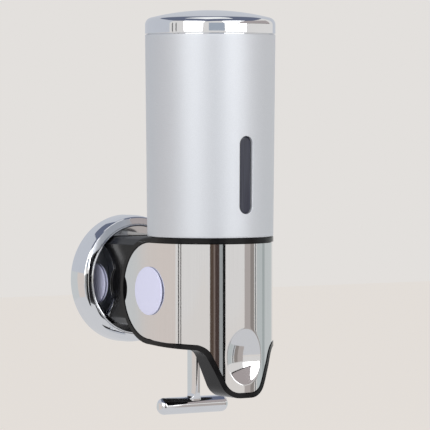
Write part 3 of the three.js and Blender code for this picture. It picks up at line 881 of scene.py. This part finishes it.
class DISPENSER_OT_finishes(bpy.types.Operator):
    """Give every CAD solid the finish of its slot"""

    bl_idname = "dispenser.finishes"
    bl_label = "Finishes"

    def execute(self, context):
        for node, solid in frame["nodes"].items():
            material = FINISH_OF_SLOT[SLOT_OF_NODE[node]]()
            if not solid.material_slots:
                solid.data.materials.append(material)
            for material_slot in solid.material_slots:
                material_slot.material = material
        return {"FINISHED"}


# ---- stage ----

CAMERA = {"azimuth": -34.1, "distance": 1.78, "height": 0.0984, "aside": 0.0026, "target": 0.0382}
LENS, SENSOR = 272.4, 36  # millimetres
WORLD_COLOUR = "#E3E0DD"
FLOOR_COLOUR = "#E6E3E0"
FLOOR_HEIGHT = -0.42
FLOOR_REACH = 6.0
LIT_HEIGHT = 0.03  # the softboxes face this height on the tube's axis


def around(azimuth, distance, height):
    """A point at that distance from the tube's axis. Azimuth 0 is straight in front and 90 to the right."""
    turn = math.radians(azimuth)
    return np.array([math.sin(turn) * distance, AXIS_Y - math.cos(turn) * distance, height])


def facing(place, target):
    """Rotation that points -Z from place to target, with Y kept as upright as it can be."""
    return (Vector(target) - Vector(place)).to_track_quat("-Z", "Y")


def add_camera():
    data = bpy.data.cameras.new("camera")
    data.lens = LENS
    data.sensor_width = SENSOR
    data.clip_end = 50
    camera = bpy.data.objects.new("camera", data)
    bpy.context.scene.collection.objects.link(camera)
    turn = math.radians(CAMERA["azimuth"])
    place = around(CAMERA["azimuth"], CAMERA["distance"], CAMERA["height"])
    aside = np.array([math.cos(turn), math.sin(turn), 0]) * CAMERA["aside"]
    target = np.array([0, AXIS_Y, CAMERA["target"]]) + aside
    camera.location = place
    camera.rotation_mode = "QUATERNION"
    camera.rotation_quaternion = facing(place, target)
    bpy.context.scene.camera = camera


def add_softbox(name, azimuth, distance, height, width, tall, watts):
    """An area light that faces the middle of the object."""
    light = bpy.data.lights.new(name, "AREA")
    light.shape = "RECTANGLE"
    light.size, light.size_y = width, tall
    light.energy = watts
    lamp = bpy.data.objects.new(name, light)
    bpy.context.scene.collection.objects.link(lamp)
    lamp.location = around(azimuth, distance, height)
    lamp.rotation_mode = "QUATERNION"
    lamp.rotation_quaternion = facing(lamp.location, (0, AXIS_Y, LIT_HEIGHT))


def stage_material(name, base, glow, strength=1.0):
    """A rough surface of one colour that also gives off another."""
    material, tree, shader = blank_material(name)
    if tree is None:
        return material
    shader.inputs["Base Color"].default_value = [*linear(base), 1]
    shader.inputs["Roughness"].default_value = 1.0
    shader.inputs["Specular IOR Level"].default_value = 0.0
    shader.inputs["Emission Color"].default_value = [*linear(glow), 1]
    shader.inputs["Emission Strength"].default_value = strength
    return material


# Softboxes: azimuth in degrees, distance, height, width and height of the panel in metres, watts.
SOFTBOXES = (
    ("key softbox", 12, 1.2, 0.5, 0.95, 0.85, 6.6),
    ("side softbox", -64, 1.2, 0.5, 0.8, 0.85, 4.8),
)

# Cards that only reflections see: azimuths in degrees, heights and distance from the axis in metres, colour.
CARDS = (
    ("rear wall", -178, -110, 0.1, 1.3, 1.3, "#C6C9D0"),
    ("other rear wall", 110, 182, 0.1, 1.3, 1.3, "#C6C9D0"),
    ("glass wall", -178, -135, -0.6, 0.1, 1.2, "#CCCFCF"),
    ("beige wall", -146.1, -101, -0.6, 0.1, 1.0, "#D9CFC8"),
    ("door edge", -94.6, -92.7, -0.6, 0.03, 1.0, "#3A3735"),
    ("door frame", -90.2, -87.8, -0.6, 0.03, 1.0, "#5A5653"),
    ("brown curtain", -34.5, -28, -0.6, 0.03, 1.0, "#56483F"),
    ("curtain fold", -28, -25, -0.6, 0.03, 1.0, "#7D706A"),
    ("curtain shade", -25, -17.8, -0.6, 0.03, 1.0, "#483B37"),
    ("grey post", -17.8, -11.5, -0.6, 0.03, 1.0, "#A0A3A3"),
    ("black post", -11.5, -6.5, -0.6, 0.03, 1.0, "#0C0C0C"),
    ("warm screen", 31, 44, -0.6, 0.03, 1.0, "#B4ACA8"),
    ("screen shade", 44, 53, -0.6, 0.03, 1.0, "#928B86"),
    ("screen edge", 55, 58, -0.6, 0.03, 1.0, "#7D8080"),
    ("green glass", 60, 76, -0.6, 0.03, 1.0, "#BFC4C3"),
    ("glass edge", 76, 84, -0.6, 0.03, 1.0, "#A9AFAE"),
    ("far glass", 84, 120, -0.6, 0.03, 1.0, "#C7CBCA"),
    ("ceiling edge", 12, 95, 0.23, 0.26, 1.0, "#161616"),
    ("ceiling shade", 12, 95, 0.26, 0.8, 1.0, "#ADA4A3"),
    ("grey pillar", -36.5, -9, 0.12, 0.34, 1.0, "#A6AEB9"),
    ("tall door edge", -104.2, -102.4, 0.12, 0.32, 1.0, "#3C3C3E"),
    ("tall door frame", -96.6, -94.8, 0.12, 0.32, 1.0, "#3C3C3E"),
)

# Level cards, also only for reflections: height, half width and half depth in metres, colour.
LEVEL_CARDS = (
    ("dark ceiling", 1.3, 1.5, 1.5, "#6A7083"),
    ("ceiling lamp", 1.25, 0.36, 0.36, "#FFFFFF"),
    ("grey ground", -0.41, 3.0, 3.0, "#D2D2D4"),
)


def reflected(name, corners, colour):
    """A card seen in reflections alone."""
    mesh = bpy.data.meshes.new(name)
    mesh.from_pydata(corners, [], [(0, 1, 2, 3)])
    mesh.materials.append(stage_material(f"card {colour}", "#000000", colour))
    card = bpy.data.objects.new(name, mesh)
    bpy.context.scene.collection.objects.link(card)
    card.visible_camera = False
    card.visible_shadow = False
    card.visible_diffuse = False
    return card


def add_card(name, start, end, low, high, distance, colour):
    x = distance * math.tan(math.radians(end - start) / 2)
    card = reflected(name, [(-x, 0, low), (x, 0, low), (x, 0, high), (-x, 0, high)], colour)
    card.location = around((start + end) / 2, distance, 0)
    card.rotation_euler = (0, 0, math.radians((start + end) / 2))


def add_level_card(name, height, x, y, colour):
    card = reflected(name, [(-x, -y, 0), (x, -y, 0), (x, y, 0), (-x, y, 0)], colour)
    card.location = (0, AXIS_Y, height)


def add_floor():
    mesh = bpy.data.meshes.new("floor")
    reach = FLOOR_REACH
    corners = [(-reach, -reach, 0), (reach, -reach, 0), (reach, reach, 0), (-reach, reach, 0)]
    mesh.from_pydata(corners, [], [(0, 1, 2, 3)])
    mesh.materials.append(stage_material("pale floor", FLOOR_COLOUR, FLOOR_COLOUR, strength=0.2))
    floor = bpy.data.objects.new("floor", mesh)
    bpy.context.scene.collection.objects.link(floor)
    floor.location = (0, 0, FLOOR_HEIGHT)


def add_world():
    world = bpy.data.worlds.new("pale studio")
    world.use_nodes = True
    background = world.node_tree.nodes["Background"]
    background.inputs["Color"].default_value = [*linear(WORLD_COLOUR), 1]
    background.inputs["Strength"].default_value = 1.0
    bpy.context.scene.world = world


class DISPENSER_OT_stage(bpy.types.Operator):
    """Add the camera, the floor, the pale surroundings, the reflection cards and the studio lights"""

    bl_idname = "dispenser.stage"
    bl_label = "Stage"

    def execute(self, context):
        add_camera()
        add_floor()
        add_world()
        context.scene.view_settings.view_transform = "Standard"
        for card in CARDS:
            add_card(*card)
        for card in LEVEL_CARDS:
            add_level_card(*card)
        for softbox in SOFTBOXES:
            add_softbox(*softbox)
        return {"FINISHED"}


# ---- panel ----

OPERATORS = (
    DISPENSER_OT_cover_tube,
    DISPENSER_OT_window,
    DISPENSER_OT_top_cap,
    DISPENSER_OT_wall_flange,
    DISPENSER_OT_steel_wrap,
    DISPENSER_OT_side_discs,
    DISPENSER_OT_handle,
    DISPENSER_OT_mouldings,
    DISPENSER_OT_spring,
    DISPENSER_OT_finishes,
    DISPENSER_OT_stage,
)


class DISPENSER_PT_panel(bpy.types.Panel):
    """Sizes, finishes and pieces of the dispenser"""

    bl_label = "Dispenser"
    bl_idname = "DISPENSER_PT_panel"
    bl_space_type = "VIEW_3D"
    bl_region_type = "UI"
    bl_category = "Dispenser"

    def draw(self, context):
        for settings in (context.scene.dispenser_sizes, context.scene.dispenser_finishes):
            for name in settings.__annotations__:
                self.layout.prop(settings, name)
        for operator in OPERATORS:
            self.layout.operator(operator.bl_idname)


CLASSES = (DispenserSizes, DispenserFinishes, *OPERATORS, DISPENSER_PT_panel)


def register():
    for cls in CLASSES:
        bpy.utils.register_class(cls)
    bpy.types.Scene.dispenser_sizes = bpy.props.PointerProperty(type=DispenserSizes)
    bpy.types.Scene.dispenser_finishes = bpy.props.PointerProperty(type=DispenserFinishes)


def unregister():
    del bpy.types.Scene.dispenser_finishes
    del bpy.types.Scene.dispenser_sizes
    for cls in reversed(CLASSES):
        bpy.utils.unregister_class(cls)


def main():
    register()
    for operator in OPERATORS:
        group, name = operator.bl_idname.split(".")
        getattr(getattr(bpy.ops, group), name)()


if __name__ == "__main__":
    main()
